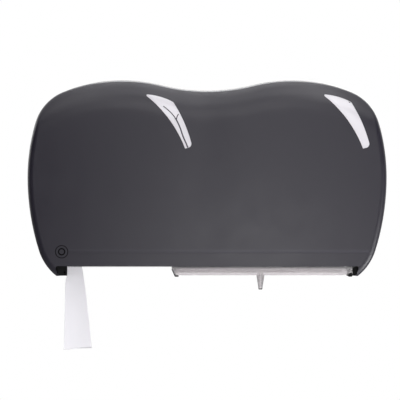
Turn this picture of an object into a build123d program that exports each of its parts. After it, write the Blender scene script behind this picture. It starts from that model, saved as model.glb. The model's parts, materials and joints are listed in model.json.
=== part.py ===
from build123d import *
import os
from math import cos, exp, hypot, radians, sin, sqrt

# Wall dispenser for two jumbo toilet tissue rolls, with a bottom-hinged cover and a sliding shutter.
# Frame: X right, Y into the wall, Z up. The wall face is Y = 0 and the cover's front faces -Y.
# The origin is the middle of the four wall screws. All lengths are in millimetres.
# An outline is drawn in XZ, as (x, z), unless a name says otherwise.

# Rolls, side by side
roll_r = 115.0
roll_w = 89.0
roll_gap = 25.0
roll_z = 8.0
roll_back_y = -15.0
core_r = 42.0
core_t = 1.6

# Room that the cover leaves round the rolls
side_room = 15.0
head_room = 17.2
chute_room = 33.5
front_room = 46.0

# Cover outline: twin humps, a valley between them, full sides and tucked-in bottom corners
hump_in = 6.4
hump_r = 224.7
valley_depth = 14.9
widest_z = 1.1
side_upper_r = 275.5
shoulder_r = 67.8
side_lower_r = 349.5
corner_r = 75.3
corner_rise = 36.3

# Cover moulding
cover_wall = 3.0
rear_gap = 1.0
roll_over_height = 48.0
roll_over_depth = 24.0
roll_over_power = 2.4
bow_across = 12.0
bow_down = 5.0
fold_depth = 2.2
fold_w = 28.0
edge_r = 9.0
leg_height = 14.1
leg_w = 11.6
leg_taper = 5.0
bead_rise = 22.0
bead_w = 3.6
bead_step = 0.8
bead_tilt = 6.0
bead_left_in, bead_right_in = 58.5, 24.0
mark_r = 9.4
mark_groove_w = 1.1
mark_depth = 0.5
mark_in = 49.0
mark_rise = 34.7

# Windows, measured across from a roll's axis and down from the hump
window_tip = (37.2, -20.0)
window_corner = (79.1, -31.3)
window_outer = (106.5, -95.7)
window_heel = (95.9, -98.2)
window_top_bulge = 2.5
window_side_bulge = 2.9
window_inner_bulge = 6.9
window_outer_r = 6.0
window_tip_r = 1.5
window_gap = 0.25
window_flange = 3.5
window_flange_t = 1.5
seat_gap = 0.1

# Tear edge
tooth_pitch = 2.15
tooth_depth = 1.8
tear_t = 1.4
tear_height = 14.0
tear_arm_gap = 1.0
tear_leg_gap = 5.5

# What carries the rolls
core_gap = 0.3
running_gap = 0.05
hub_t = 2.0
hub_flange_r = 52.0
hub_web_in = 3.0
hub_hole_count = 6
hub_hole_r = 9.0
hub_end_gap = 0.5
spindle_r = 12.0
spindle_bore_r = 8.0
spindle_flange_r = 23.0
spindle_flange_t = 4.0
spindle_screw_ring = 17.5
spindle_past_roll = 3.0
cap_r = 17.0
cap_t = 4.0
cap_plug = 14.0
cap_edge_r = 1.5
cap_gap = 0.2

# Back plate
plate_t = 3.0
plate_inset = 4.5
plate_corner_rise = 24.4
rim_t = 2.5
rim_depth = 12.0
rim_bottom_z = 12.0
rib_t = 2.0
rib_depth = 4.0
rib_inner_r = 24.0
rib_ring_r = 62.0
rib_outer_r = 104.0
rib_count = 8
boss_depth = 5.0
screw_span_x = 406.4
screw_span_z = 152.4
screw_hole_r = 2.75
screw_pad_r = 9.0
screw_pad_t = 2.0

# Hinge
hinge_y = -55.0
hinge_rise = 6.5
pin_r = 3.0
pin_head_r = 4.4
pin_head_t = 1.6
pin_reach = 6.7
pin_fit = 0.02
ear_r = 6.4
ear_gap = 1.2

# Chute: side arms, front rail and rear rail
arm_w = 8.8
arm_web = 3.0
arm_leg_gap = 8.5
arm_height = 45.2
arm_toe_height = 28.2
arm_back_from_front = 24.0
arm_level = 67.0
arm_foot_t = 12.0
arm_notch_w, arm_notch_h = 5.0, 6.5
rail_t = 2.5
rail_w = 12.5
rail_foot_t = 2.2
rail_foot_back = 5.5
rail_top_back = 7.0
rail_top_t = 2.0
rear_rail_depth = 10.0
rail_end_gap = 0.4

# Shutter
tray_length = 248.5
tray_side_gap = 3.5
tray_t = 2.0
tray_front_gap = 1.0
tray_front_over = 11.0
tray_rim_t = 1.8
tray_rim_out = 2.5
tray_slant = 6.0
hanger_t = 1.6
hanger_gap = 0.4
front_hook = 3.0
rear_hook = 7.0
tab_in = 121.0
tab_top_w, tab_bottom_w = 11.5, 5.5
tab_drop = 19.1
tab_front_in = 14.5
tab_depth = 40.0
tab_t = 1.6
tab_tip_h = 1.4
tab_rib_t = 1.2
end_cap_w, end_cap_h, end_cap_depth = 4.0, 2.2, 14.0
clip_height, clip_t = 9.0, 1.2
stop_length = 8.4

# Lock, in the valley of the top wall
lock_y = -36.0
lock_r = 9.0
lock_length = 21.7
lock_flange_r = 12.0
lock_flange_t = 1.8
lock_sink = 0.6
lock_seat_gap = 0.2
plug_r = 6.0
key_slot_w, key_slot_depth = 2.0, 7.4
lock_boss_r = 15.0
lock_boss_h = 6.0
nut_across = 24.0
nut_t = 4.5
cam_length = 21.0
cam_w = 9.0
cam_t = 2.0
cam_gap = 0.4
tail_side = 6.0
strike_t = 1.5
strike_w = 16.0
strike_above_cam = 6.4
strike_inner_x = 11.5
strike_outer_x = 27.5
strike_foot = 18.0
strike_boss_h = 8.0
strike_gap = 1.7

# Fasteners
small_screw_r = 1.5
small_screw_length = 9.0
small_head_r = 3.0
small_head_t = 1.8
screw_drill_gap = 0.05

# Loose tissue
tissue_t = 1.0
web_gap = 0.5
web_arm_gap = 2.6
tail_length = 119.8
tail_in = 11.0
tail_drift = 4.3
tail_top_turn, tail_bottom_turn = -12.0, -26.0


def towards(a, b, length):
    """Point at a distance from a, on the ray to b."""
    reach = hypot(b[0] - a[0], b[1] - a[1])
    return (a[0] + (b[0] - a[0]) * length / reach, a[1] + (b[1] - a[1]) * length / reach)


def crossing(a, a_r, b, b_r):
    """Crossing of two circles that lies furthest up and to the right."""
    gap = hypot(b[0] - a[0], b[1] - a[1])
    along = (a_r**2 - b_r**2 + gap**2) / (2 * gap)
    off = sqrt(a_r**2 - along**2)
    ux, uz = (b[0] - a[0]) / gap, (b[1] - a[1]) / gap
    ends = [(a[0] + ux * along + s * uz * off, a[1] + uz * along - s * ux * off) for s in (1, -1)]
    return max(ends, key=sum)


def arc(centre, start, end):
    """Arc of under half a turn about a centre."""
    middle = ((start[0] + end[0]) / 2, (start[1] + end[1]) / 2)
    radius = hypot(start[0] - centre[0], start[1] - centre[1])
    return ThreePointArc(start, towards(centre, middle, radius), end)


def bulge(start, end, height):
    """Arc that stands out to the left of the line from start to end by a height."""
    length = hypot(end[0] - start[0], end[1] - start[1])
    nx, nz = -(end[1] - start[1]) / length, (end[0] - start[0]) / length
    middle = ((start[0] + end[0]) / 2 + nx * height, (start[1] + end[1]) / 2 + nz * height)
    return ThreePointArc(start, middle, end)


def block(x, y, z):
    """Box between low and high limits on each axis."""
    size = (x[1] - x[0], y[1] - y[0], z[1] - z[0])
    return Pos(x[0], y[0], z[0]) * Box(*size, align=(Align.MIN, Align.MIN, Align.MIN))


def slab(face, back_y, front_y):
    """Front view outline as a solid between two depths."""
    return Pos(0, back_y, 0) * extrude(face, back_y - front_y, dir=(0, -1, 0))


def rod(x, z, radius, back_y, front_y):
    """Round bar along Y."""
    return slab(Plane.XZ * Pos(x, z) * Circle(radius), back_y, front_y)


def bar(face, low_x, high_x):
    """Side view outline, drawn as (y, z), as a solid between two places across the width."""
    return Pos(low_x, 0, 0) * extrude(Plane.YZ * face, high_x - low_x, dir=(1, 0, 0))


def cross_rod(y, z, radius, low_x, high_x):
    """Round bar along X."""
    return bar(Pos(y, z) * Circle(radius), low_x, high_x)


def upright(x, y, radius, low_z, high_z):
    """Round bar along Z."""
    return Pos(x, y, low_z) * extrude(Circle(radius), high_z - low_z)


def polygon(*points):
    """Flat face with straight sides."""
    return make_face(Polyline(*points, close=True))


def both_sides(shape):
    """A shape and its mirror image across the middle."""
    return shape + mirror(shape, Plane.YZ)


# Overall size: the cover closes round the two rolls
roll_x = roll_r + roll_gap / 2
half_width = roll_x + roll_r + side_room
hump_x = roll_x - hump_in
hump_z = roll_z + roll_r + head_room
valley_z = hump_z - valley_depth
foot_z = roll_z - roll_r - chute_room
lip_z = foot_z + leg_height
corner_z = foot_z + corner_rise
depth = roll_w - roll_back_y + front_room

# Centres of the outline's arcs, each tangent to the next
hump_c = (hump_x, hump_z - hump_r)
valley_rise = valley_z - hump_c[1]
valley_r = (hump_x**2 + valley_rise**2 - hump_r**2) / (2 * (hump_r - valley_rise))
valley_c = (0.0, valley_z + valley_r)
side_upper_c = (half_width - side_upper_r, widest_z)
side_lower_c = (half_width - side_lower_r, widest_z)
shoulder_c = crossing(hump_c, hump_r - shoulder_r, side_upper_c, side_upper_r - shoulder_r)
corner_x = side_lower_c[0] + sqrt(side_lower_r**2 - (corner_z - widest_z) ** 2)
corner_c = towards((corner_x, corner_z), side_lower_c, corner_r)
crown_x = towards(hump_c, valley_c, hump_r)[0]

# Mouth between the cover's legs, and the chute that stands in it
mouth_half = corner_c[0] + sqrt(corner_r**2 - (lip_z - corner_c[1]) ** 2) - leg_w
arm_outer = mouth_half - arm_leg_gap
arm_inner = arm_outer - arm_w
arm_bottom_z = foot_z + 0.3
arm_top_z = arm_bottom_z + arm_height
arm_toe_z = arm_bottom_z + arm_toe_height
arm_front_y = -depth + arm_back_from_front
rail_z = lip_z + 0.9
rail_screws_at = [(side * (arm_inner + arm_outer) / 2, rail_z + 0.7 * rail_w) for side in (-1, 1)]
hinge_z = foot_z + hinge_rise
pin_end = arm_outer + pin_reach

# Spindles and hubs
spindle_back_y = -plate_t - boss_depth
spindle_front_y = roll_back_y - roll_w - spindle_past_roll
spindle_screws_at = [
    (side * roll_x + spindle_screw_ring * cos(radians(a)), roll_z + spindle_screw_ring * sin(radians(a)))
    for side in (-1, 1)
    for a in (90, 210, 330)
]

# Shutter tray
tray_right = arm_inner - tray_side_gap
tray_left = tray_right - tray_length
tray_floor_z = foot_z + 1.0
tray_rim_z = lip_z - 0.8
tray_front_y = arm_front_y - rail_t - tray_front_gap
tray_back_y = -plate_t - rear_rail_depth - 2.5
front_hanger_y = arm_front_y + rail_foot_back - rail_t + 1.2

# Lock and its keeper
lock_seat_z = valley_z - lock_sink - lock_flange_t - lock_seat_gap
lock_bottom_z = valley_z - lock_sink - lock_length
cam_top_z = lock_bottom_z - cam_gap
strike_z = (cam_top_z + strike_above_cam - strike_w, cam_top_z + strike_above_cam)
strike_seat_y = -plate_t - strike_boss_h
strike_screw_x = strike_outer_x + strike_foot * 0.6
strike_screws_at = [(strike_screw_x, strike_z[0] + 4), (strike_screw_x, strike_z[1] - 4)]


def outline(inset=0.0, bottom_z=foot_z):
    """Cover outline moved inwards by an inset, with its legs run straight down to a bottom edge."""
    crown = towards(hump_c, valley_c, hump_r - inset)
    brow = towards(hump_c, shoulder_c, hump_r - inset)
    cheek = towards(side_upper_c, shoulder_c, side_upper_r - inset)
    belly = (half_width - inset, widest_z)
    heel = towards(side_lower_c, (corner_x, corner_z), side_lower_r - inset)
    toe = (corner_c[0] + sqrt((corner_r - inset) ** 2 - (foot_z - corner_c[1]) ** 2), foot_z)
    right = [
        arc(hump_c, crown, brow),
        arc(shoulder_c, brow, cheek),
        arc(side_upper_c, cheek, belly),
        arc(side_lower_c, belly, heel),
        arc(corner_c, heel, toe),
    ]
    if bottom_z < foot_z:
        right.append(Line(toe, (toe[0], bottom_z)))
    left = [mirror(edge, Plane.YZ) for edge in right]
    top = arc(valley_c, (-crown[0], crown[1]), crown)
    bottom = Line((-toe[0], bottom_z), (toe[0], bottom_z))
    return Plane.XZ * make_face([top, bottom, *right, *left])


def crest(x):
    """Height of the humped top edge at a place across the width."""
    across = abs(x)
    if across < crown_x:
        return valley_c[1] - sqrt(valley_r**2 - across**2)
    return hump_c[1] + sqrt(hump_r**2 - (across - hump_x) ** 2)


def front_y(x, z):
    """Depth of the moulded front: bowed both ways, folded in at the valley, rolled back along the humps."""
    turn = max(0.0, 1 - (crest(x) - z) / roll_over_height)
    rolled = turn**roll_over_power if turn < 1 else 1 + roll_over_power * (turn - 1)
    bow = bow_across * (x / half_width) ** 2 + bow_down * ((z - widest_z) / foot_z) ** 2
    rise = min(1.0, max(0.0, (z - foot_z) / (valley_z - foot_z)))
    fold = fold_depth * exp(-((x / fold_w) ** 2)) * rise**1.5
    return -depth + bow + fold + roll_over_depth * rolled


def front_skin(inset, columns=44, rows=30, margin=12.0):
    """Smooth front face, moved back and down by an inset, with its rows following the humps."""
    low = foot_z - 30
    grid = []
    for i in range(columns + 1):
        x = (half_width + margin) * (2 * i / columns - 1)
        high = crest(x) + margin
        heights = [low + (high - low) * j / rows for j in range(rows + 1)]
        grid.append([Vector(x, front_y(x, z + inset) + inset, z) for z in heights])
    return Face.make_surface_from_array_of_points(grid, tol=0.05, min_deg=3, max_deg=5)


def cover_form(inset=0.0, bottom_z=foot_z, back_y=-rear_gap, soft_edge=True):
    """Solid inside the cover's skin, at an inset from its outer face."""
    sides = slab(outline(inset, bottom_z), back_y, -depth - 20)
    form = sides & Solid.extrude(front_skin(inset), Vector(0, 2 * depth, 0))
    if not soft_edge:
        return form
    front_edges = [
        edge
        for edge in form.edges()
        if edge.bounding_box().max.Y < hinge_y and edge.bounding_box().max.Z > foot_z + 1
    ]
    return fillet(front_edges, max(edge_r - inset, 2.0))


def window_face(side, grow=0.0):
    """Crescent window over one roll, the same way round on both sides."""
    path = [
        bulge(window_corner, window_tip, -window_top_bulge),
        bulge(window_outer, window_corner, -window_side_bulge),
        Line(window_heel, window_outer),
        bulge(window_tip, window_heel, window_inner_bulge),
    ]
    face = make_face(path)
    rounded = face.vertices().sort_by_distance(Vector(*window_outer))[0]
    face = fillet(fillet(rounded, window_outer_r).vertices().sort_by(Axis.X)[0:1], window_tip_r)
    if grow:
        face = offset(face, grow, kind=Kind.ARC)
    return Plane.XZ * (Pos(side * roll_x, hump_z) * face)


def make_cover(outer, inner):
    """Cover moulding: shell, dispensing mouth, window holes, lip bead, hinge ears and lock boss."""
    low_half = mouth_half - leg_taper
    mouth = polygon(
        (-mouth_half, lip_z), (mouth_half, lip_z), (low_half, foot_z - 1), (-low_half, foot_z - 1),
    )
    shell = outer - inner - slab(Plane.XZ * mouth, hinge_y - 40, -depth - 5)
    for side in (-1, 1):
        shell -= slab(window_face(side), -60, -depth - 5)
    bead_z = lip_z + bead_rise
    bead = block((bead_left_in - half_width, half_width - bead_right_in), (-depth, -depth + 2 * bow_across),
                 (bead_z - bead_w, bead_z - bead_step))
    crease = Pos(0, front_y(0, bead_z), bead_z)
    tilted = crease * Rot(-bead_tilt, 0, 0) * crease.inverse() * front_skin(0)
    shell += (bead & Solid.extrude(tilted, Vector(0, 2 * depth, 0))) - inner
    mark_at = (mark_in - half_width, foot_z + mark_rise)
    ring = rod(*mark_at, mark_r, 0, -depth) - rod(*mark_at, mark_r - mark_groove_w, 1, -depth - 1)
    shell -= ring - Solid.extrude(front_skin(mark_depth), Vector(0, 2 * depth, 0))
    ear = cross_rod(hinge_y, hinge_z, ear_r, arm_outer + ear_gap, half_width) & outer
    ear -= block((arm_outer, half_width), (hinge_y - 9, hinge_y + 9), (foot_z - 1, foot_z))
    bore = cross_rod(hinge_y, hinge_z, pin_r + running_gap, arm_outer, pin_end + 0.5)
    shell = shell + both_sides(ear) - both_sides(bore)
    boss_top = valley_z - cover_wall / 2
    boss = upright(0, lock_y, lock_boss_r, valley_z - cover_wall - lock_boss_h, boss_top)
    flange_seat = upright(0, lock_y, lock_flange_r + window_gap, lock_seat_z, valley_z + 5)
    barrel_hole = upright(0, lock_y, lock_r + running_gap, lock_bottom_z, valley_z + 5)
    return shell + boss - flange_seat - barrel_hole


def make_window(side, outer, seat, back):
    """Clear insert that fills the hole flush and laps the shell from inside."""
    plug = slab(window_face(side, -window_gap), -60, -depth - 5) & (outer - back)
    lap = slab(window_face(side, window_flange), -60, -depth - 5) & (seat - back)
    return plug + lap


def make_tear_strip(seat, back):
    """Serrated strip along the inside of the lip; the teeth stand below it."""
    tear_left, tear_right = tear_arm_gap - arm_inner, mouth_half - tear_leg_gap
    count = int((tear_right - tear_left) / tooth_pitch)
    root_z = lip_z + 0.1
    points = [(tear_left, root_z + tear_height), (tear_left, root_z)]
    for i in range(count):
        x = tear_left + i * tooth_pitch
        points += [(x + tooth_pitch / 2, root_z - tooth_depth), (x + tooth_pitch, root_z)]
    points.append((tear_left + count * tooth_pitch, root_z + tear_height))
    return slab(Plane.XZ * polygon(*points), -100, -depth - 5) & (seat - back)


def make_back_plate():
    """Wall plate with its rim, ribs, screw pads, spindle bosses, strike boss and rear rail."""
    corner_top = lip_z + plate_corner_rise
    low_corner = block((arm_outer - 0.3, half_width), (-2 * rim_depth, 1), (foot_z - 1, corner_top))
    below = block((-half_width, half_width), (-2 * rim_depth, 1), (foot_z - 1, rail_z))
    plate = slab(outline(plate_inset), 0, -plate_t) - both_sides(low_corner) - below
    rim = slab(outline(plate_inset), 0, -rim_depth) - slab(outline(plate_inset + rim_t), 1, -2 * rim_depth)
    rim -= block((-half_width, half_width), (-2 * rim_depth, 1), (foot_z - 1, rim_bottom_z))
    rib_front = -plate_t - rib_depth
    ribs = Part()
    for side in (-1, 1):
        ring = rod(side * roll_x, roll_z, rib_ring_r + rib_t, -plate_t, rib_front)
        ribs += ring - rod(side * roll_x, roll_z, rib_ring_r, 0, rib_front - 1)
        for i in range(rib_count):
            middle, length = (rib_inner_r + rib_outer_r) / 2, rib_outer_r - rib_inner_r
            spoke = slab(Plane.XZ * Pos(middle, 0) * Rectangle(length, rib_t), -plate_t, rib_front)
            ribs += Pos(side * roll_x, 0, roll_z) * Rot(0, 360 * (i + 0.5) / rib_count, 0) * spoke
    ribs &= slab(outline(plate_inset + rim_t / 2), 0, -rim_depth)
    plate = plate + rim + ribs
    for side in (-1, 1):
        plate += rod(side * roll_x, roll_z, spindle_flange_r + 2, -plate_t, spindle_back_y)
    strike_boss_x = (strike_outer_x + 0.5, strike_outer_x + strike_foot)
    plate += block(strike_boss_x, (strike_seat_y, -plate_t), (strike_z[0] - 2, strike_z[1] + 2))
    rail_half = arm_inner - rail_end_gap
    rail_y = (-plate_t - rear_rail_depth, -plate_t)
    plate += block((-rail_half, rail_half), rail_y, (rail_z, rail_z + rail_foot_t))
    for x in (-screw_span_x / 2, screw_span_x / 2):
        for z in (-screw_span_z / 2, screw_span_z / 2):
            plate += rod(x, z, screw_pad_r, -plate_t, -plate_t - screw_pad_t)
            plate -= rod(x, z, screw_hole_r, 1, -20)
    for x, z in spindle_screws_at + strike_screws_at:
        plate -= rod(x, z, small_screw_r + screw_drill_gap, -2, -20)
    return plate


def make_spindle(side):
    """Hollow stub axle on a screwed flange."""
    x = side * roll_x
    body = rod(x, roll_z, spindle_flange_r, spindle_back_y, spindle_back_y - spindle_flange_t)
    body += rod(x, roll_z, spindle_r, spindle_back_y, spindle_front_y)
    body -= rod(x, roll_z, spindle_bore_r, spindle_back_y - spindle_flange_t, spindle_front_y - 1)
    for sx, sz in spindle_screws_at:
        if side * sx > 0:
            body -= rod(sx, sz, small_screw_r + screw_drill_gap, 0, -20)
    return body


def screws(places, seat_y):
    """Pan-head screws along Y with their heads on the front side of a seat."""
    group = Part()
    for x, z in places:
        group += rod(x, z, small_screw_r, seat_y + small_screw_length, seat_y)
        group += rod(x, z, small_head_r, seat_y, seat_y - small_head_t)
    return group


def make_cap(side):
    """Push-in cap that keeps a hub on its spindle."""
    x = side * roll_x
    head_y = spindle_front_y - cap_gap
    head = rod(x, roll_z, cap_r, head_y, head_y - cap_t)
    head = chamfer(head.edges().group_by(Axis.Y)[0], cap_edge_r)
    return head + rod(x, roll_z, spindle_bore_r - running_gap, spindle_front_y + cap_plug, head_y - 1)


def make_hub(side):
    """Bobbin that fills the core and turns on the spindle: drum, rear flange, sleeve and pierced web."""
    x = side * roll_x
    back = spindle_back_y - spindle_flange_t - hub_end_gap
    front = spindle_front_y + hub_end_gap
    drum_r = core_r - core_gap
    sleeve_r = spindle_r + running_gap + hub_t
    drum = rod(x, roll_z, drum_r, back, front) - rod(x, roll_z, drum_r - hub_t, 0, front - 1)
    flange = rod(x, roll_z, hub_flange_r, back, back - hub_t)
    flange -= rod(x, roll_z, drum_r - hub_t, 0, back - hub_t - 1)
    web_y = front + hub_web_in
    web = rod(x, roll_z, drum_r - hub_t / 2, web_y + hub_t, web_y)
    for i in range(hub_hole_count):
        turn = radians(360 * (i + 0.5) / hub_hole_count)
        ring = (sleeve_r + drum_r - hub_t) / 2
        web -= rod(x + ring * cos(turn), roll_z + ring * sin(turn), hub_hole_r, 0, front - 1)
    sleeve = rod(x, roll_z, sleeve_r, back, front)
    return drum + flange + web + sleeve - rod(x, roll_z, spindle_r + running_gap, 0, front - 1)


def tube(side, inner_r, outer_r):
    """Ring as wide as the roll, on a roll's axis."""
    x = side * roll_x
    ring = rod(x, roll_z, outer_r, roll_back_y, roll_back_y - roll_w)
    return ring - rod(x, roll_z, inner_r, 0, roll_back_y - roll_w - 1)


def make_arm(side):
    """Chute side: a channel from the wall plate to the front rail, with a wide front foot."""
    profile = polygon(
        (-plate_t, arm_bottom_z), (-plate_t, arm_top_z), (-plate_t - arm_level, arm_top_z),
        (arm_front_y, arm_toe_z), (arm_front_y, arm_bottom_z),
    )
    arm = bar(profile, arm_inner, arm_outer)
    hollow = offset(profile, -arm_web, kind=Kind.INTERSECTION)
    arm -= bar(hollow, arm_inner + arm_web, arm_outer + 1)
    boss = cross_rod(hinge_y, hinge_z, ear_r - 0.4, arm_inner, arm_outer)
    arm += boss
    foot_x = mouth_half - ear_gap
    foot_face = polygon(
        (arm_inner, arm_bottom_z), (foot_x - leg_taper, arm_bottom_z),
        (foot_x, lip_z - 1.0), (foot_x, arm_toe_z), (arm_inner, arm_toe_z),
    )
    arm += slab(Plane.XZ * foot_face, arm_front_y + arm_foot_t, arm_front_y)
    notch_x, notch_z = arm_inner + arm_notch_w, arm_bottom_z + arm_notch_h
    arm -= block((0, notch_x), (-depth, arm_front_y + arm_foot_t), (foot_z - 1, notch_z))
    notch_r = arm_notch_w * 0.6
    arm -= Pos(arm_inner, 0, notch_z) * (rod(0, 0, notch_r, arm_front_y + arm_foot_t, -depth)
                                         & block((0, notch_r), (-depth, 0), (-notch_r, 0)))
    arm -= cross_rod(hinge_y, hinge_z, pin_r + pin_fit, 0, half_width)
    screw_x, screw_z = rail_screws_at[1]
    arm -= rod(screw_x, screw_z, small_screw_r + screw_drill_gap, arm_front_y + small_screw_length, -depth)
    return arm if side > 0 else mirror(arm, Plane.YZ)


def make_front_rail():
    """Cross rail behind the lip; its foot carries the shutter's front hanger."""
    front = arm_front_y - rail_t
    web = block((-arm_outer, arm_outer), (front, arm_front_y), (rail_z, rail_z + rail_w))
    span = (rail_end_gap - arm_inner, arm_inner - rail_end_gap)
    foot = block(span, (front, arm_front_y + rail_foot_back - rail_t), (rail_z, rail_z + rail_foot_t))
    top = block(span, (front, arm_front_y + rail_top_back), (rail_z + rail_w - rail_top_t, rail_z + rail_w))
    rail = web + foot + top
    for x, z in rail_screws_at:
        rail -= rod(x, z, small_screw_r + screw_drill_gap, 0, -depth)
    return rail


def make_pin(side):
    """Hinge pin pressed through an arm into the cover's ear."""
    pin = cross_rod(hinge_y, hinge_z, pin_r, arm_inner - pin_head_t, pin_end)
    pin += cross_rod(hinge_y, hinge_z, pin_head_r, arm_inner - 0.1 - pin_head_t, arm_inner - 0.1)
    return pin if side > 0 else mirror(pin, Plane.YZ)


def make_shutter():
    """Sliding tray: floor, walls, slanted ends, front rim, two hangers and a hollow finger tab."""
    top_z = tray_rim_z - tray_rim_t
    ends = polygon(
        (tray_left, top_z), (tray_right, top_z),
        (tray_right - tray_slant / 2, tray_floor_z), (tray_left + tray_slant, tray_floor_z),
    )
    tray = slab(Plane.XZ * ends, tray_back_y, tray_front_y)
    hollow = slab(Plane.XZ * Pos(0, tray_t) * offset(ends, -tray_t, kind=Kind.INTERSECTION),
                  tray_back_y - tray_t, tray_front_y + tray_t)
    hollow += Pos(0, 0, tray_t) * hollow
    tray -= hollow
    front_end = tray_right + tray_front_over
    front_wall = block((tray_right - 2 * tray_t, front_end), (tray_front_y, tray_front_y + tray_t),
                       (tray_floor_z + 0.6, top_z))
    rim = block((tray_left, front_end), (tray_front_y - tray_rim_out, tray_front_y + tray_t),
                (top_z, tray_rim_z))
    hang_x = (tray_left + 1.0, tray_right)
    shelf_back = front_hanger_y + hanger_t
    shelf = block(hang_x, (tray_front_y, shelf_back), (top_z, tray_rim_z))
    stem_top = rail_z + rail_foot_t + hanger_gap
    stem = block(hang_x, (front_hanger_y, shelf_back), (top_z, stem_top + hanger_t))
    hook = block(hang_x, (front_hanger_y - front_hook, front_hanger_y), (stem_top, stem_top + hanger_t))
    hook += block(hang_x, (tray_back_y, tray_back_y + rear_hook), (stem_top, stem_top + hanger_t))
    rear_stem = block(hang_x, (tray_back_y - tray_t, tray_back_y), (top_z - 2, stem_top + hanger_t))
    tab_x = tray_right - tab_in
    rib = block((tab_x - tab_rib_t / 2, tab_x + tab_rib_t / 2), (tray_front_y, tray_back_y),
                (tray_floor_z - tab_drop, tray_floor_z))
    tab = make_tab(0.0) - make_tab(tab_t) + (rib & make_tab(0.0))
    mouth = make_tab(tab_t) & block((tab_x - tab_top_w, tab_x + tab_top_w), (-depth, 0), (tray_floor_z, lip_z))
    return tray - mouth + front_wall + rim + shelf + stem + rear_stem + hook + tab


def make_tab(inset):
    """Tapered finger tab under the tray, or its pocket when inset by a wall."""
    top_z = tray_floor_z + (tray_t + 1 if inset else 0)
    half_top, half_bottom = tab_top_w / 2 - inset, tab_bottom_w / 2 - inset
    low = tray_floor_z - tab_drop + inset * 1.5
    face = polygon((-half_top, top_z), (half_top, top_z), (half_bottom, low), (-half_bottom, low))
    front = tray_front_y + tab_front_in
    return slab(Plane.XZ * Pos(tray_right - tab_in, 0) * face, front + tab_depth - inset, front + inset)


def make_end_caps():
    """Dark bumpers on the shutter: a corner clip, a stop wedge and the finger tab's tip."""
    slope = tray_slant / (tray_rim_z - tray_rim_t - tray_floor_z)
    foot_x = tray_left + tray_slant
    clip_top_x = foot_x - clip_height * slope
    low = tray_floor_z - end_cap_h
    clip = polygon(
        (clip_top_x, tray_floor_z + clip_height), (foot_x, tray_floor_z), (foot_x + end_cap_w, tray_floor_z),
        (foot_x + end_cap_w, low), (foot_x - clip_t, low), (clip_top_x - clip_t, tray_floor_z + clip_height),
    )
    stop_x = arm_outer - 1.8
    stop = polygon(
        (stop_x - stop_length, tray_floor_z - 0.2), (stop_x - stop_length * 0.6, tray_floor_z + 2.4),
        (stop_x, tray_floor_z + 3.5), (stop_x, low + 0.3), (stop_x - stop_length * 0.5, low),
    )
    tip_z = tray_floor_z - tab_drop
    tip_half = tab_bottom_w / 2
    tip = polygon(
        (-tip_half, tip_z), (tip_half, tip_z), (tip_half - 0.4, tip_z - tab_tip_h), (0.4 - tip_half, tip_z - tab_tip_h),
    )
    tab_front = tray_front_y + tab_front_in
    return (
        slab(Plane.XZ * clip, tray_front_y + end_cap_depth, tray_front_y)
        + slab(Plane.XZ * stop, tray_front_y, tray_front_y - clip_t)
        + slab(Plane.XZ * Pos(tray_right - tab_in, 0) * tip, tab_front + tab_depth, tab_front)
    )


def make_lock_body():
    """Lock barrel with its flange let into the top wall."""
    flange_z = lock_seat_z + lock_seat_gap
    barrel = upright(0, lock_y, lock_r, lock_bottom_z, flange_z)
    barrel += upright(0, lock_y, lock_flange_r, flange_z, valley_z - lock_sink)
    return barrel - upright(0, lock_y, plug_r + running_gap, lock_bottom_z - 1, valley_z)


def make_lock_nut():
    """Hexagon nut that clamps the lock under its boss."""
    top = valley_z - cover_wall - lock_boss_h - 0.1
    hexagon = RegularPolygon(nut_across / 2, 6, major_radius=False)
    body = Pos(0, lock_y, top - nut_t) * extrude(hexagon, nut_t)
    return body - upright(0, lock_y, lock_r + running_gap, top - nut_t - 1, top + 1)


def make_lock_plug():
    """Turning plug with a key slot and a square tail."""
    top_z = valley_z - lock_sink - 0.3
    plug = upright(0, lock_y, plug_r, lock_bottom_z - 0.2, top_z)
    slot = (lock_y - 2 * key_slot_w, lock_y + 2 * key_slot_w)
    plug -= block((-key_slot_w / 2, key_slot_w / 2), slot, (top_z - key_slot_depth, valley_z))
    half = tail_side / 2
    tail = block((-half, half), (lock_y - half, lock_y + half),
                 (cam_top_z - cam_t - cam_gap, lock_bottom_z - 0.1))
    return plug + tail - upright(0, lock_y, small_screw_r + screw_drill_gap, 0, lock_bottom_z + 2)


def make_lock_cam():
    """Cam lever, pointing back towards the wall when the lock is open."""
    low_z = cam_top_z - cam_t
    lever = block((-cam_w / 2, cam_w / 2), (lock_y, lock_y + cam_length - cam_w / 2), (low_z, cam_top_z))
    lever += upright(0, lock_y, cam_w / 2 + 1, low_z, cam_top_z)
    lever += upright(0, lock_y + cam_length - cam_w / 2, cam_w / 2, low_z, cam_top_z)
    half = tail_side / 2 + running_gap
    return lever - block((-half, half), (lock_y - half, lock_y + half), (low_z - 1, cam_top_z + 1))


def make_cam_screw():
    """Screw and head that hold the cam on the plug's tail."""
    seat = cam_top_z - cam_t - cam_gap
    shank = upright(0, lock_y, small_screw_r, seat - 0.5, lock_bottom_z + 1)
    return shank + upright(0, lock_y, tail_side * 0.75, seat - 2.2, seat - 0.1)


def make_strike():
    """Bent steel keeper: foot on its boss, side and lip in front of the turned cam."""
    lip_back = lock_y - cam_w / 2 - strike_gap
    foot_end = strike_outer_x + strike_foot - 1
    foot = block((strike_outer_x - strike_t, foot_end), (strike_seat_y - strike_t, strike_seat_y), strike_z)
    web = block((strike_outer_x - strike_t, strike_outer_x), (lip_back - strike_t, strike_seat_y), strike_z)
    lip = block((strike_inner_x, strike_outer_x), (lip_back - strike_t, lip_back), strike_z)
    strike = foot + web + lip
    for x, z in strike_screws_at:
        strike -= rod(x, z, small_screw_r + screw_drill_gap, 0, -30)
    return strike


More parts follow.
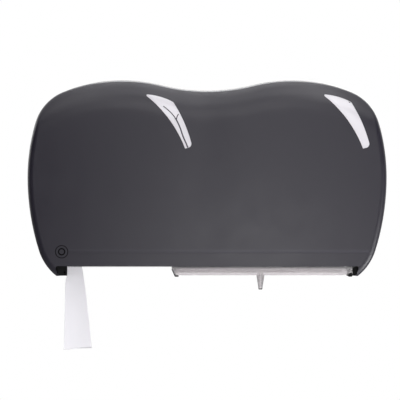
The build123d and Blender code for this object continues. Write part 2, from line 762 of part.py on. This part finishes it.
def make_web():
    """Sheet from the side of the left roll down over the chute's arm to the tear line."""
    bx, bz = web_arm_gap - arm_inner, arm_top_z
    rx, rz = -roll_x - bx, roll_z - bz
    reach = hypot(rx, rz)
    clear_r = roll_r + web_gap
    along = sqrt(reach**2 - clear_r**2)
    cos_t, sin_t = along / reach, clear_r / reach
    ux, uz = rx / reach, rz / reach
    top = (bx + along * (ux * cos_t - uz * sin_t), bz + along * (uz * cos_t + ux * sin_t))
    slant = hypot(top[0] - bx, top[1] - bz)
    nx, nz = -(top[1] - bz) / slant, (top[0] - bx) / slant
    face = polygon(
        (top[0], top[1]), (bx, bz), (bx, lip_z),
        (bx - tissue_t, lip_z), (bx - tissue_t, bz - 0.2), (top[0] + nx * tissue_t, top[1] + nz * tissue_t),
    )
    return slab(Plane.XZ * face, roll_back_y, roll_back_y - roll_w)


def make_tail():
    """Hanging end of the tissue, twisting a little as it falls."""
    middle_y = roll_back_y - roll_w / 2
    top = Pos(tail_in - arm_inner, middle_y, lip_z - web_gap) * Rot(0, 0, tail_top_turn)
    bottom = Pos(tail_drift, 0, -tail_length) * Pos(tail_in - arm_inner, middle_y, lip_z - web_gap)
    sheet = Rectangle(tissue_t, roll_w)
    return loft([top * sheet, bottom * Rot(0, 0, tail_bottom_turn) * sheet])


outer = cover_form()
inner = cover_form(cover_wall, foot_z - 20, 10)
lap_seat = cover_form(cover_wall + seat_gap, foot_z - 20, 10)
lap_back = cover_form(cover_wall + seat_gap + window_flange_t, foot_z - 20, 10)
strip_back = cover_form(cover_wall + seat_gap + tear_t, foot_z - 20, 10)

nodes = {
    "cover_shell": make_cover(outer, inner),
    "window_left": make_window(-1, outer, lap_seat, lap_back),
    "window_right": make_window(1, outer, lap_seat, lap_back),
    "tear_strip": make_tear_strip(lap_seat, strip_back),
    "back_plate": make_back_plate(),
    "spindle_left": make_spindle(-1),
    "spindle_right": make_spindle(1),
    "spindle_screws": screws(spindle_screws_at, spindle_back_y - spindle_flange_t),
    "hub_cap_left": make_cap(-1),
    "hub_cap_right": make_cap(1),
    "hub_left": make_hub(-1),
    "hub_right": make_hub(1),
    "core_left": tube(-1, core_r, core_r + core_t),
    "core_right": tube(1, core_r, core_r + core_t),
    "tissue_roll_left": tube(-1, core_r + core_t + core_gap, roll_r),
    "tissue_roll_right": tube(1, core_r + core_t + core_gap, roll_r),
    "side_arm_left": make_arm(-1),
    "side_arm_right": make_arm(1),
    "front_rail": make_front_rail(),
    "rail_screws": screws(rail_screws_at, arm_front_y - rail_t),
    "hinge_pin_left": make_pin(-1),
    "hinge_pin_right": make_pin(1),
    "shutter": make_shutter(),
    "shutter_end_caps": make_end_caps(),
    "lock_body": make_lock_body(),
    "lock_nut": make_lock_nut(),
    "lock_plug": make_lock_plug(),
    "lock_cam": make_lock_cam(),
    "cam_screw": make_cam_screw(),
    "lock_strike": make_strike(),
    "strike_screws": screws(strike_screws_at, strike_seat_y - strike_t),
    "tissue_web": make_web(),
    "tissue_tail": make_tail(),
}

os.makedirs("parts", exist_ok=True)
for name, shape in nodes.items():
    shape.label = name
    export_step(shape, f"parts/{name}.step")
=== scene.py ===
import json
from math import hypot, pi, radians, sin, sqrt, tau

import bmesh
import bpy
from mathutils import Matrix, Vector, noise
from mathutils.bvhtree import BVHTree


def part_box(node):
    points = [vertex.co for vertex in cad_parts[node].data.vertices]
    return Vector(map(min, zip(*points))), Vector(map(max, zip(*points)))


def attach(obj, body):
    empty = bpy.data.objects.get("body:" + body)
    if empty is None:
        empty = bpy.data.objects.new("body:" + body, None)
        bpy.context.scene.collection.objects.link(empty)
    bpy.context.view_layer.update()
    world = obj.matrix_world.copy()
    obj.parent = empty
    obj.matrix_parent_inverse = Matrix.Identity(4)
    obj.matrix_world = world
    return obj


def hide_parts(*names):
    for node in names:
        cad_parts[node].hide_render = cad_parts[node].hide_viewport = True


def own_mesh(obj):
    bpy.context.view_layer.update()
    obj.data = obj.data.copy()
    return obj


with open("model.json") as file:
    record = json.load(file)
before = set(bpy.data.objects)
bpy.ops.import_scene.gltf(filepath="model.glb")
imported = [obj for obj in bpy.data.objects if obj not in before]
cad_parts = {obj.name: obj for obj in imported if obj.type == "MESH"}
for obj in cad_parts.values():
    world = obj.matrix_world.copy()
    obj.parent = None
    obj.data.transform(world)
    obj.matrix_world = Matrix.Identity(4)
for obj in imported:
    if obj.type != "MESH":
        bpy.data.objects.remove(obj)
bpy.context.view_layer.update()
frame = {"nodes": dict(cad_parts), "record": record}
nodes = frame["nodes"]

# Twin roll tissue dispenser. Metres, X right, Y into the wall, Z up, origin between the wall
# screws.
MM = 0.001

cover_low, cover_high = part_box("cover_shell")
shutter_low, shutter_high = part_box("shutter")
roll_low, roll_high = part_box("tissue_roll_left")
tail_low, tail_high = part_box("tissue_tail")
web_low, web_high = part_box("tissue_web")
roll_x, roll_z = -(roll_low[0] + roll_high[0]) / 2, (roll_low[2] + roll_high[2]) / 2


# ---------------------------------------------------------------- node helpers

def srgb(code):
    """Linear RGBA of an sRGB hex colour."""
    values = [int(code[i:i + 2], 16) / 255 for i in (1, 3, 5)]
    linear = [v / 12.92 if v <= 0.04045 else ((v + 0.055) / 1.055) ** 2.4 for v in values]
    return (*linear, 1.0)


def add(tree, kind, links=None, values=None, **settings):
    """A shader node with its settings, socket values and incoming links."""
    made = tree.nodes.new(kind)
    for key, value in settings.items():
        setattr(made, key, value)
    for key, value in (values or {}).items():
        made.inputs[key].default_value = value
    for key, source in (links or {}).items():
        tree.links.new(source, made.inputs[key])
    return made


def surface(name, **values):
    """A material with its Principled BSDF set, and its Object coordinates."""
    made = bpy.data.materials.new(name)
    made.use_nodes = True
    tree = made.node_tree
    shader = tree.nodes["Principled BSDF"]
    for key, value in values.items():
        shader.inputs[key.replace("_", " ")].default_value = value
    place = add(tree, "ShaderNodeTexCoord").outputs["Object"]
    return made, tree, shader, place


def maths(tree, operation, *terms):
    """Result of a Math node; each term is a socket or a number."""
    made = add(tree, "ShaderNodeMath", operation=operation)
    for socket, term in zip(made.inputs, terms):
        if isinstance(term, bpy.types.NodeSocket):
            tree.links.new(term, socket)
        else:
            socket.default_value = term
    return made.outputs[0]


def vectors(tree, operation, source, by=(0, 0, 0)):
    """Result of a Vector Math node on a socket and a fixed vector."""
    return add(tree, "ShaderNodeVectorMath", {0: source}, {1: by}, operation=operation).outputs[0]


def ramp(tree, source, start, stop, low=0.0, high=1.0):
    """Low where the source is at start, high where it is at stop, and straight in between."""
    made = add(tree, "ShaderNodeMapRange", {"Value": source},
               {"From Min": start, "From Max": stop, "To Min": low, "To Max": high})
    return made.outputs["Result"]


def speckle(tree, place, size, detail, rough=0.5):
    """Noise whose grains have a real size."""
    return add(tree, "ShaderNodeTexNoise", {"Vector": place},
               {"Scale": 1 / size, "Detail": detail, "Roughness": rough}).outputs["Fac"]


def emboss(tree, shader, height, distance, strength=1.0):
    """Bump from a height of 0 to 1 over a real distance."""
    bump = add(tree, "ShaderNodeBump", {"Height": height},
               {"Strength": strength, "Distance": distance})
    tree.links.new(bump.outputs["Normal"], shader.inputs["Normal"])


def wear(tree, shader, place, low, high, size):
    """Roughness that drifts between two values over a real distance."""
    drift = ramp(tree, speckle(tree, place, size, 3.0), 0.3, 0.7, low, high)
    tree.links.new(drift, shader.inputs["Roughness"])


def tint(tree, shader, share, plain, painted_tone):
    """Base colour that goes from plain to a painted light or shade tone as the share goes from 0
    to 1.
    """
    mix = add(tree, "ShaderNodeMix", {"Factor": share}, data_type="RGBA")
    mix.inputs["A"].default_value = srgb(plain)
    mix.inputs["B"].default_value = srgb(painted_tone)
    tree.links.new(mix.outputs["Result"], shader.inputs["Base Color"])


def moulded(name, colour, roughness, index, height):
    """Moulded plastic: even colour, its sheen broken by the fine grain of a spark-eroded tool."""
    made, tree, shader, place = surface(
        name, Base_Color=srgb(colour), Roughness=roughness, IOR=index)
    emboss(tree, shader, speckle(tree, place, 0.8 * MM, 2.0), height)
    return made


# ---------------------------------------------------------------- plastics

# Smoke ABS of the cover: satin charcoal with a slightly uneven sheen, and a painted highlight
# along the lip bead
cover_abs, tree, shader, place = surface("smoke_moulded_abs", Roughness=0.4, IOR=1.53)
emboss(tree, shader, speckle(tree, place, 0.9 * MM, 3.0, 0.6), 0.05 * MM)
wear(tree, shader, place, 0.37, 0.43, 30 * MM)
bead_z = cover_low[2] + 37.6 * MM
bead_x, bead_half = 17.2 * MM, 216 * MM
crown_drop, crown_half, crown_highlight = 0.3 * MM, 1.4 * MM, 0.25
flank_drop, flank_half, flank_highlight = 3.1 * MM, 1.7 * MM, 0.85
flank_starts, flank_full = -190 * MM, 20 * MM
where = add(tree, "ShaderNodeSeparateXYZ", {0: place}).outputs
# Painted highlight on the lip bead: a thin lighter band on its crown and a broader one just below
# it, growing towards the right where the light falls
crown = maths(tree, "COMPARE", where["Z"], bead_z - crown_drop, crown_half)
flank = maths(tree, "COMPARE", where["Z"], bead_z - flank_drop, flank_half)
grows = ramp(tree, where["X"], flank_starts, flank_full, 0.0, flank_highlight)
bead_highlight = maths(tree, "MULTIPLY_ADD", crown, crown_highlight, maths(tree, "MULTIPLY", flank, grows))
along = maths(tree, "COMPARE", where["X"], bead_x, bead_half)
tint(tree, shader, maths(tree, "MULTIPLY", bead_highlight, along), "#24212c", "#35323d")

# Black ABS of the back, rails and hubs: dull black that keeps a faint broken highlight
black_abs = moulded("black_moulded_abs", "#08080a", 0.5, 1.4, 0.03 * MM)

# Black nylon of the chute sides and the shutter's feet: matt, it takes almost no light
black_nylon = moulded("black_moulded_nylon", "#020203", 0.62, 1.3, 0.03 * MM)

# White ABS inside: bright, slightly warm, with a soft broad highlight
white_abs = moulded("white_moulded_abs", "#d8d8d4", 0.38, 1.53, 0.02 * MM)

# Acrylic of the windows: glossy, its nearly opaque pale violet-white is painted light that stands
# in for the bright white seen on and through the window over the white rolls behind
window_acrylic_painted_light = surface(
    "window_acrylic_painted_light", Base_Color=srgb("#f3f0f6"), Roughness=0.06, IOR=1.49, Alpha=0.86)[0]

# Smoke polycarbonate of the shutter: a clear grey tray with painted shade, darker along the top
# rim where it lies in the lip's shadow, and at the left end wall and the ribs beside the tapered
# tab, where the clear plastic looks dark edge-on
smoke_pc, tree, shader, place = surface(
    "smoke_polycarbonate", Roughness=0.2, IOR=1.58, Transmission_Weight=0.9)
rim_dark, end_dark, rib_dark, tab_dark = 0.72, 0.55, 0.8, 0.08
rim_foot, rim_top = shutter_high[2] - 9.1 * MM, shutter_high[2] - 7.9 * MM
end_inside, end_outside = shutter_low[0] + 7 * MM, shutter_low[0] + 5.5 * MM
tab_root, tab_below = shutter_low[2] + 19 * MM, shutter_low[2] + 17 * MM
tab_slope, tip_height = 0.131, 1 * MM
tab_tip = [v.co.x for v in nodes["shutter"].data.vertices if v.co.z < shutter_low[2] + tip_height]
tab_x, tip_half = (max(tab_tip) + min(tab_tip)) / 2, (max(tab_tip) - min(tab_tip)) / 2
tab_edge = tip_half - tab_slope * shutter_low[2]
rib_inside, rib_outside = tab_edge - 1.6 * MM, tab_edge - 0.9 * MM
where = add(tree, "ShaderNodeSeparateXYZ", {0: place}).outputs
rim = ramp(tree, where["Z"], rim_foot, rim_top, 0.0, rim_dark)
end = ramp(tree, where["X"], end_inside, end_outside, 0.0, end_dark)
tab = ramp(tree, where["Z"], tab_root, tab_below)
# Way off the tab's middle less its taper, so that it stays the same along a slanting rib
off_middle = maths(tree, "ABSOLUTE", maths(tree, "SUBTRACT", where["X"], tab_x))
off_tip = maths(tree, "MULTIPLY_ADD", where["Z"], -tab_slope, off_middle)
ribs = ramp(tree, off_tip, rib_inside, rib_outside, tab_dark, rib_dark)
# Painted shade: the strongest of the rim, end wall and rib darkening
painted_shade = maths(tree, "MAXIMUM", rim, end)
painted_shade = maths(tree, "MAXIMUM", painted_shade, maths(tree, "MULTIPLY", tab, ribs))
tint(tree, shader, painted_shade, "#cac4c7", "#38353a")


# ---------------------------------------------------------------- paper and metal

# Core board: dry brown card, rough and a little uneven
core_board, tree, shader, place = surface(
    "grey_core_board", Base_Color=srgb("#9a7f63"), Roughness=0.85)
emboss(tree, shader, speckle(tree, place, 0.6 * MM, 4.0), 0.06 * MM)

# Loose tissue: soft, matt and finely embossed, with light coming through the sheet
tissue_paper, tree, shader, place = surface(
    "embossed_tissue", Base_Color=srgb("#f8f7fa"), Roughness=0.95, Sheen_Weight=0.2)
emboss(tree, shader, speckle(tree, place, 1.6 * MM, 4.0), 0.12 * MM)
glow = add(tree, "ShaderNodeBsdfTranslucent", values={"Color": srgb("#f8f7fa")})
veil = add(tree, "ShaderNodeMixShader", {1: shader.outputs[0], 2: glow.outputs[0]}, {0: 0.4})
tree.links.new(veil.outputs[0], tree.nodes["Material Output"].inputs["Surface"])

# Wound tissue: dense matt white, its turns showing as fine uneven rings round either roll's axis.
# Turns of 0.2 mm paper are drawn 1.3 mm apart so that they show.
wound_paper, tree, shader, place = surface(
    "wound_tissue", Base_Color=srgb("#f4f3f6"), Roughness=0.95, Sheen_Weight=0.2)
turn_gap, turn_sway = 1.3 * MM, 9.0
either = vectors(tree, "ABSOLUTE", vectors(tree, "SUBTRACT", place, (0, 0, roll_z)))
from_axis = vectors(tree, "MULTIPLY", vectors(tree, "SUBTRACT", either, (roll_x, 0, 0)), (1, 0, 1))
radius = add(tree, "ShaderNodeVectorMath", {0: from_axis}, operation="LENGTH").outputs["Value"]
sway = maths(tree, "MULTIPLY", speckle(tree, place, 25 * MM, 2.0), turn_sway)
turns = maths(tree, "ADD", maths(tree, "MULTIPLY", radius, tau / turn_gap), sway)
emboss(tree, shader, maths(tree, "SINE", turns), 0.15 * MM, 0.6)

# Zinc plated steel: cool grey metal whose shine is clouded by handling
zinc, tree, shader, place = surface(
    "zinc_plated_steel", Base_Color=srgb("#c2c4c6"), Metallic=1.0, Roughness=0.34)
wear(tree, shader, place, 0.28, 0.42, 6 * MM)

# Satin nickel of the lock: warmer and a little brighter than the zinc
nickel, tree, shader, place = surface(
    "satin_nickel", Base_Color=srgb("#b9b6b0"), Metallic=1.0, Roughness=0.3)
wear(tree, shader, place, 0.24, 0.36, 4 * MM)

# Painted shadow: a soft grey line without a highlight of its own, for the shaded gap round the
# left roll's edge seen through the window; the same grey draws the small dark speck in the right
# window
shadow_line_and_speck_grey = surface("painted_shadow_line_and_speck", Base_Color=srgb("#3f3b45"), Roughness=0.5)[0]

# Matt black in the mark's two grooves: flat black rings
inlay = surface("matt_black_groove_rings", Base_Color=srgb("#050506"), Roughness=0.9, IOR=1.2)[0]

finish_of = {
    "smoke_cover": cover_abs, "clear_window": window_acrylic_painted_light, "clear_shutter": smoke_pc,
    "black_plastic": black_abs, "white_plastic": white_abs, "core_board": core_board,
    "tissue": tissue_paper, "lock_metal": nickel, "steel": zinc,
}
own_finish = {
    "tissue_roll_left": wound_paper, "tissue_roll_right": wound_paper,
    "side_arm_left": black_nylon, "side_arm_right": black_nylon, "shutter_end_caps": black_nylon,
}
for part in frame["record"]["subparts"]:
    node = nodes[part["node"]]
    node.data.materials.clear()
    node.data.materials.append(own_finish.get(part["node"], finish_of[part["material_slot"]]))


# ---------------------------------------------------------------- piece helpers

def placed(name, mesh, material):
    """An object for a mesh, in one material."""
    mesh.materials.clear()
    mesh.materials.append(material)
    made = bpy.data.objects.new(name, mesh)
    bpy.context.collection.objects.link(made)
    return made


def built(name, bm, material):
    """An object from a bmesh, which is used up."""
    mesh = bpy.data.meshes.new(name)
    bm.to_mesh(mesh)
    bm.free()
    return placed(name, mesh, material)


def piece(name, bm, material, body):
    """A finished piece from a bmesh, riding a body."""
    made = built(name, bm, material)
    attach(made, body)


two_ply_t = 0.3 * MM


def paper(name, columns, rows, spot_at, body):
    """A two-ply sheet: a grid whose points are put in place by their share across and down it."""
    bm = bmesh.new()
    bmesh.ops.create_grid(bm, x_segments=columns, y_segments=rows, size=0.5)
    for vert in bm.verts:
        vert.co = spot_at(vert.co.x + 0.5, 0.5 - vert.co.y)
    for face in bm.faces:
        face.smooth = True
    made = built(name, bm, tissue_paper)
    ply = made.modifiers.new("two_ply", "SOLIDIFY")
    ply.thickness = two_ply_t
    ply.offset = 0
    made.data = bpy.data.meshes.new_from_object(
        made.evaluated_get(bpy.context.evaluated_depsgraph_get()))
    made.modifiers.clear()
    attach(made, body)
    return made


def strand(name, points, half_width, material, body):
    """Fine round line through points, as a mesh."""
    curve = bpy.data.curves.new(name, "CURVE")
    curve.dimensions = "3D"
    curve.bevel_depth = half_width
    curve.bevel_resolution = 1
    curve.resolution_u = 6
    curve.use_fill_caps = True
    spline = curve.splines.new("NURBS")
    spline.points.add(len(points) - 1)
    for control, spot in zip(spline.points, points):
        control.co = (*spot, 1)
    spline.order_u = 3
    spline.use_endpoint_u = True
    drawn = bpy.data.objects.new(name, curve)
    mesh = bpy.data.meshes.new_from_object(drawn)
    bpy.data.objects.remove(drawn)
    for face in mesh.polygons:
        face.use_smooth = True
    made = placed(name, mesh, material)
    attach(made, body)


def thicken(bm, depth):
    """Turn flat faces into a plate that is this deep along Y."""
    grown = bmesh.ops.extrude_face_region(bm, geom=bm.faces[:])
    back = [v for v in grown["geom"] if isinstance(v, bmesh.types.BMVert)]
    bmesh.ops.translate(bm, verts=back, vec=(0, depth, 0))
    bmesh.ops.recalc_face_normals(bm, faces=bm.faces[:])


def front_of(name):
    """A function that gives the point of a CAD node's front face at x and z."""
    mesh = nodes[name].data
    tree = BVHTree.FromPolygons([v.co for v in mesh.vertices], [f.vertices for f in mesh.polygons])
    return lambda x, z: tree.ray_cast(Vector((x, -1, z)), Vector((0, 1, 0)))[0]


# ---------------------------------------------------------------- loose tissue

sheet_w = roll_high[1] - roll_low[1]
sheet_y = (roll_high[1] + roll_low[1]) / 2
join_up, bend_up, bend_soft = 14 * MM, 31.9 * MM, 9 * MM
join_z = tail_high[2] + join_up
hang_x = web_high[0] - 0.5 * MM

# Hanging end: how far each edge moves on leaving the wall and in falling, and its unevenness
left_leaving, left_turning, left_falling = 1.6 * MM, 2.6 * MM, 2.4 * MM
right_leaving, right_falling = 17.6 * MM, 15 * MM
bulge, ripple = 1.4 * MM, 0.15 * MM
torn_rise, torn_coarse, torn_fine = 3.2 * MM, 0.9 * MM, 0.5 * MM


def smooth(low, high, value):
    """0 below low, 1 above high, easy in between."""
    share = min(1.0, max(0.0, (value - low) / (high - low)))
    return share * share * (3 - 2 * share)


def tail_point(across, down):
    """Hanging end: flat against the chute, then turning and drifting down to a torn edge."""
    level = join_z + (tail_low[2] - join_z) * down
    fall = max(0.0, (tail_high[2] - level) / (tail_high[2] - tail_low[2]))
    leaving, turning = smooth(0.0, 0.12, down), smooth(0.09, 0.2, fall)
    left = hang_x - left_leaving * leaving - left_turning * turning - left_falling * fall
    right = hang_x + right_leaving * leaving + right_falling * fall ** 0.75
    slant = right - left
    run = sqrt(sheet_w ** 2 - slant ** 2)
    uneven = bulge * sin(pi * across) * smooth(0.1, 0.6, fall) \
        + ripple * sin(tau * 1.5 * across + 4 * fall) * fall
    torn = 0.0
    if down > 0.999:
        torn = torn_rise * across \
            + torn_coarse * noise.noise(Vector((across * 9, 0.3, 0))) \
            + torn_fine * noise.noise(Vector((across * 41, 4.1, 0)))
    spot_x = left + slant * across + uneven
    return Vector((spot_x, sheet_y - run / 2 + run * across, level + torn))


tail = paper("tissue_end", 60, 80, tail_point, "chassis")
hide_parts("tissue_tail")
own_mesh(tail)


def web_point(across, down):
    """Sheet from the side of the left roll over the chute, flat against its wall at the lip."""
    top = Vector((web_low[0], 0, web_high[2]))
    bend = Vector((hang_x, 0, tail_high[2] + bend_up))
    foot = Vector((hang_x, 0, join_z))
    first, second = (bend - top).length, (foot - bend).length
    run = down * (first + second)
    spot = top.lerp(bend, run / first) if run < first else bend.lerp(foot, (run - first) / second)
    near = (run - first) / bend_soft
    if abs(near) < 1:
        before = bend + (top - bend).normalized() * bend_soft
        after = bend + (foot - bend).normalized() * bend_soft
        share = (near + 1) / 2
        spot = before * (1 - share) ** 2 + bend * 2 * share * (1 - share) + after * share ** 2
    return Vector((spot.x, roll_low[1] + sheet_w * across, spot.z))


web = paper("tissue_inside", 12, 40, web_point, "chassis")
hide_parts("tissue_web")


# ---------------------------------------------------------------- painted shadow line and speck in the windows

# Painted shadow: a forked dark line for the shaded gap round the left roll's edge, in mm from the
# left roll's axis: half width and points of each run
shadow_line_runs = [
    (1.0, [(99.6, 35.6), (97.9, 41.0), (94.6, 47.5), (91.8, 55.0), (89.4, 62.5), (86.2, 70.5),
           (81.8, 78.0)]),
    (0.85, [(81.8, 78.0), (77.6, 83.8), (71.8, 89.2), (64.6, 95.0)]),
    (0.9, [(83.4, 75.6), (83.9, 80.0), (86.6, 83.6)]),
]
shadow_line_sunk = Vector((0, 0.35 * MM, 0))
left_front = front_of("window_left")
for number, (half_width, run) in enumerate(shadow_line_runs, 1):
    spots = [left_front(x * MM - roll_x, z * MM + roll_z) + shadow_line_sunk for x, z in run]
    strand(f"window_shadow_line_{number}", spots, half_width * MM, shadow_line_and_speck_grey, "cover")

# Speck, in mm from the right roll's axis
speck_sunk = Vector((0, 0.2 * MM, 0))
right_front = front_of("window_right")
speck_run = [(75.4, 101.2), (77.6, 99.6)]
spots = [right_front(x * MM + roll_x, z * MM + roll_z) + speck_sunk for x, z in speck_run]
strand("window_speck", spots, 0.8 * MM, shadow_line_and_speck_grey, "cover")


# ---------------------------------------------------------------- rings of the plain mark

cover_front = front_of("cover_shell")
mark_x, mark_z = cover_low[0] + 49 * MM, cover_low[2] + 34.7 * MM
ring_proud, ring_depth = 0.55 * MM, 0.5 * MM
for number, (radius, width) in enumerate([(8.9, 1.0), (4.4, 1.7)], 1):
    bm = bmesh.new()
    bmesh.ops.create_circle(bm, segments=48, radius=(radius - width / 2) * MM)
    bmesh.ops.create_circle(bm, segments=48, radius=(radius + width / 2) * MM)
    bmesh.ops.bridge_loops(bm, edges=bm.edges[:])
    bmesh.ops.rotate(bm, verts=bm.verts, matrix=Matrix.Rotation(radians(90), 3, "X"))
    bmesh.ops.translate(bm, verts=bm.verts, vec=(mark_x, 0, mark_z))
    for vert in bm.verts:
        way = Vector((vert.co.x - mark_x, 0, vert.co.z - mark_z)).normalized() * radius * MM
        vert.co.y = cover_front(mark_x + way.x, mark_z + way.z).y - ring_proud
    thicken(bm, ring_depth)
    piece(f"mark_ring_{number}", bm, inlay, "cover")


# ---------------------------------------------------------------- corners of the cover's mouth

# Outline in mm from the point where the side wall meets the lip, outwards and up
corner_outline = [
    (1.0, 0.8), (-3.2, 0.8), (-3.0, 0.0), (-1.6, -0.5), (-0.7, -1.4), (-0.2, -3.0), (1.0, -3.2)]
lip_z = tail_high[2] + 0.5 * MM
mouth_half = cover_high[0] - 40 * MM
probe, wall_t, corner_depth = 2 * MM, 1.2 * MM, 1.6 * MM
for side, name in ((-1, "mouth_corner_left"), (1, "mouth_corner_right")):
    face_y = cover_front(side * (mouth_half + probe), lip_z + probe).y + wall_t
    bm = bmesh.new()
    bm.faces.new([bm.verts.new((side * (mouth_half + x * MM), face_y, lip_z + z * MM))
                  for x, z in corner_outline])
    thicken(bm, corner_depth)
    piece(name, bm, cover_abs, "cover")


# ---------------------------------------------------------------- camera

view_width = 573 * MM
middle = Vector((-10.2 * MM, 0, -31.6 * MM))
stand_off, face_off = 20.0, 0.15
sensor = 36
camera = bpy.data.objects.new("camera", bpy.data.cameras.new("camera"))
camera.data.sensor_width = sensor
camera.data.lens = sensor * (stand_off - face_off) / view_width
camera.data.clip_end = 50
camera.location = middle + Vector((0, -stand_off, 0))
camera.rotation_euler = (radians(90), 0, 0)
bpy.context.collection.objects.link(camera)
bpy.context.scene.camera = camera


# ---------------------------------------------------------------- light

# Soft square lamps: place, aim, side and power
lamps = {
    "top_left": ((-0.5, -0.5, 1.3), (-0.1, -0.05, 0.1), 0.9, 4.6),
    "top_right": ((0.5, -0.5, 1.3), (0.1, -0.05, 0.1), 0.9, 7.4),
    "high_left": ((-0.35, -1.5, 1.0), (-0.05, -0.1, 0), 1.1, 3.75),
    "high_right": ((0.25, -1.6, 0.9), (0.05, -0.1, 0), 1.1, 5.6),
    "front": ((0.2, -1.9, 0.2), (0.1, -0.1, 0), 1.0, 1.8),
    "low": ((0.15, -1.7, -0.3), (0.1, -0.1, -0.05), 0.5, 3.0),
    "right": ((1.2, -0.9, -0.55), (0.1, -0.1, 0), 0.8, 5.0),
    "low_right": ((1.1, -0.35, -0.7), (-0.19, -0.07, -0.18), 0.4, 6.5),
    "left_side": ((-1.3, 0.6, 0.4), (-0.1, -0.05, 0), 0.6, 3.0),
    "back": ((0.4, 1.6, 0.6), (0, 0, 0), 0.8, 8.0),
    "top_back": ((0, 0.7, 1.3), (0, -0.1, 0.1), 0.8, 16.0),
    "below": ((0.1, -1.4, -0.75), (0.0, -0.1, -0.1), 0.5, 4.1),
}
for name, (place, aim, side, power) in lamps.items():
    light = bpy.data.lights.new(name, "AREA")
    light.size = side
    light.energy = power
    lamp = bpy.data.objects.new(name, light)
    lamp.location = place
    lamp.rotation_euler = (Vector(aim) - Vector(place)).to_track_quat("-Z", "Y").to_euler()
    bpy.context.collection.objects.link(lamp)

# Studio: dim in front, where the object's face looks, and white behind it for the view, metal
# and glass
world = bpy.data.worlds.new("studio")
world.use_nodes = True
bpy.context.scene.world = world
tree = world.node_tree
tree.nodes.clear()
rays = add(tree, "ShaderNodeLightPath").outputs
sky = add(tree, "ShaderNodeTexCoord").outputs["Generated"]
behind = ramp(tree, add(tree, "ShaderNodeSeparateXYZ", {0: sky}).outputs["Y"], -0.1, 0.5)
mirrored = maths(tree, "MULTIPLY", rays["Is Glossy Ray"], behind)
direct = maths(tree, "ADD", rays["Is Camera Ray"], rays["Is Transmission Ray"])
seen = maths(tree, "MINIMUM", maths(tree, "ADD", direct, mirrored), 1.0)
dim_light, full_light = 0.035, 1.0
soft = add(tree, "ShaderNodeBackground", values={"Color": (1, 1, 1, 1), "Strength": dim_light})
white = add(tree, "ShaderNodeBackground", values={"Color": (1, 1, 1, 1), "Strength": full_light})
mixed = add(tree, "ShaderNodeMixShader", {0: seen, 1: soft.outputs[0], 2: white.outputs[0]})
add(tree, "ShaderNodeOutputWorld", {"Surface": mixed.outputs[0]})
bpy.context.scene.view_settings.view_transform = "Standard"


# ---------------------------------------------------------------- floor

# Pale floor: even white to the eye and through glass, and open from below
pale, tree, shader, place = surface("pale_floor", Base_Color=srgb("#f2f2f2"), Roughness=0.8)
rays = add(tree, "ShaderNodeLightPath").outputs
floor_light = 0.96
bright = add(tree, "ShaderNodeEmission", values={"Color": (1, 1, 1, 1), "Strength": floor_light})
direct = maths(tree, "ADD", rays["Is Camera Ray"], rays["Is Transmission Ray"])
shown = maths(tree, "MINIMUM", direct, 1.0)
lit = add(tree, "ShaderNodeMixShader", {0: shown, 1: shader.outputs[0], 2: bright.outputs[0]})
below = add(tree, "ShaderNodeNewGeometry").outputs["Backfacing"]
open_side = add(tree, "ShaderNodeBsdfTransparent")
under = add(tree, "ShaderNodeMixShader", {0: below, 1: lit.outputs[0], 2: open_side.outputs[0]})
tree.links.new(under.outputs[0], tree.nodes["Material Output"].inputs["Surface"])

floor_z, floor_half = -1.25, 6
bm = bmesh.new()
bmesh.ops.create_grid(bm, x_segments=1, y_segments=1, size=floor_half)
bmesh.ops.translate(bm, verts=bm.verts, vec=(0, 0, floor_z))
floor = built("floor", bm, pale)
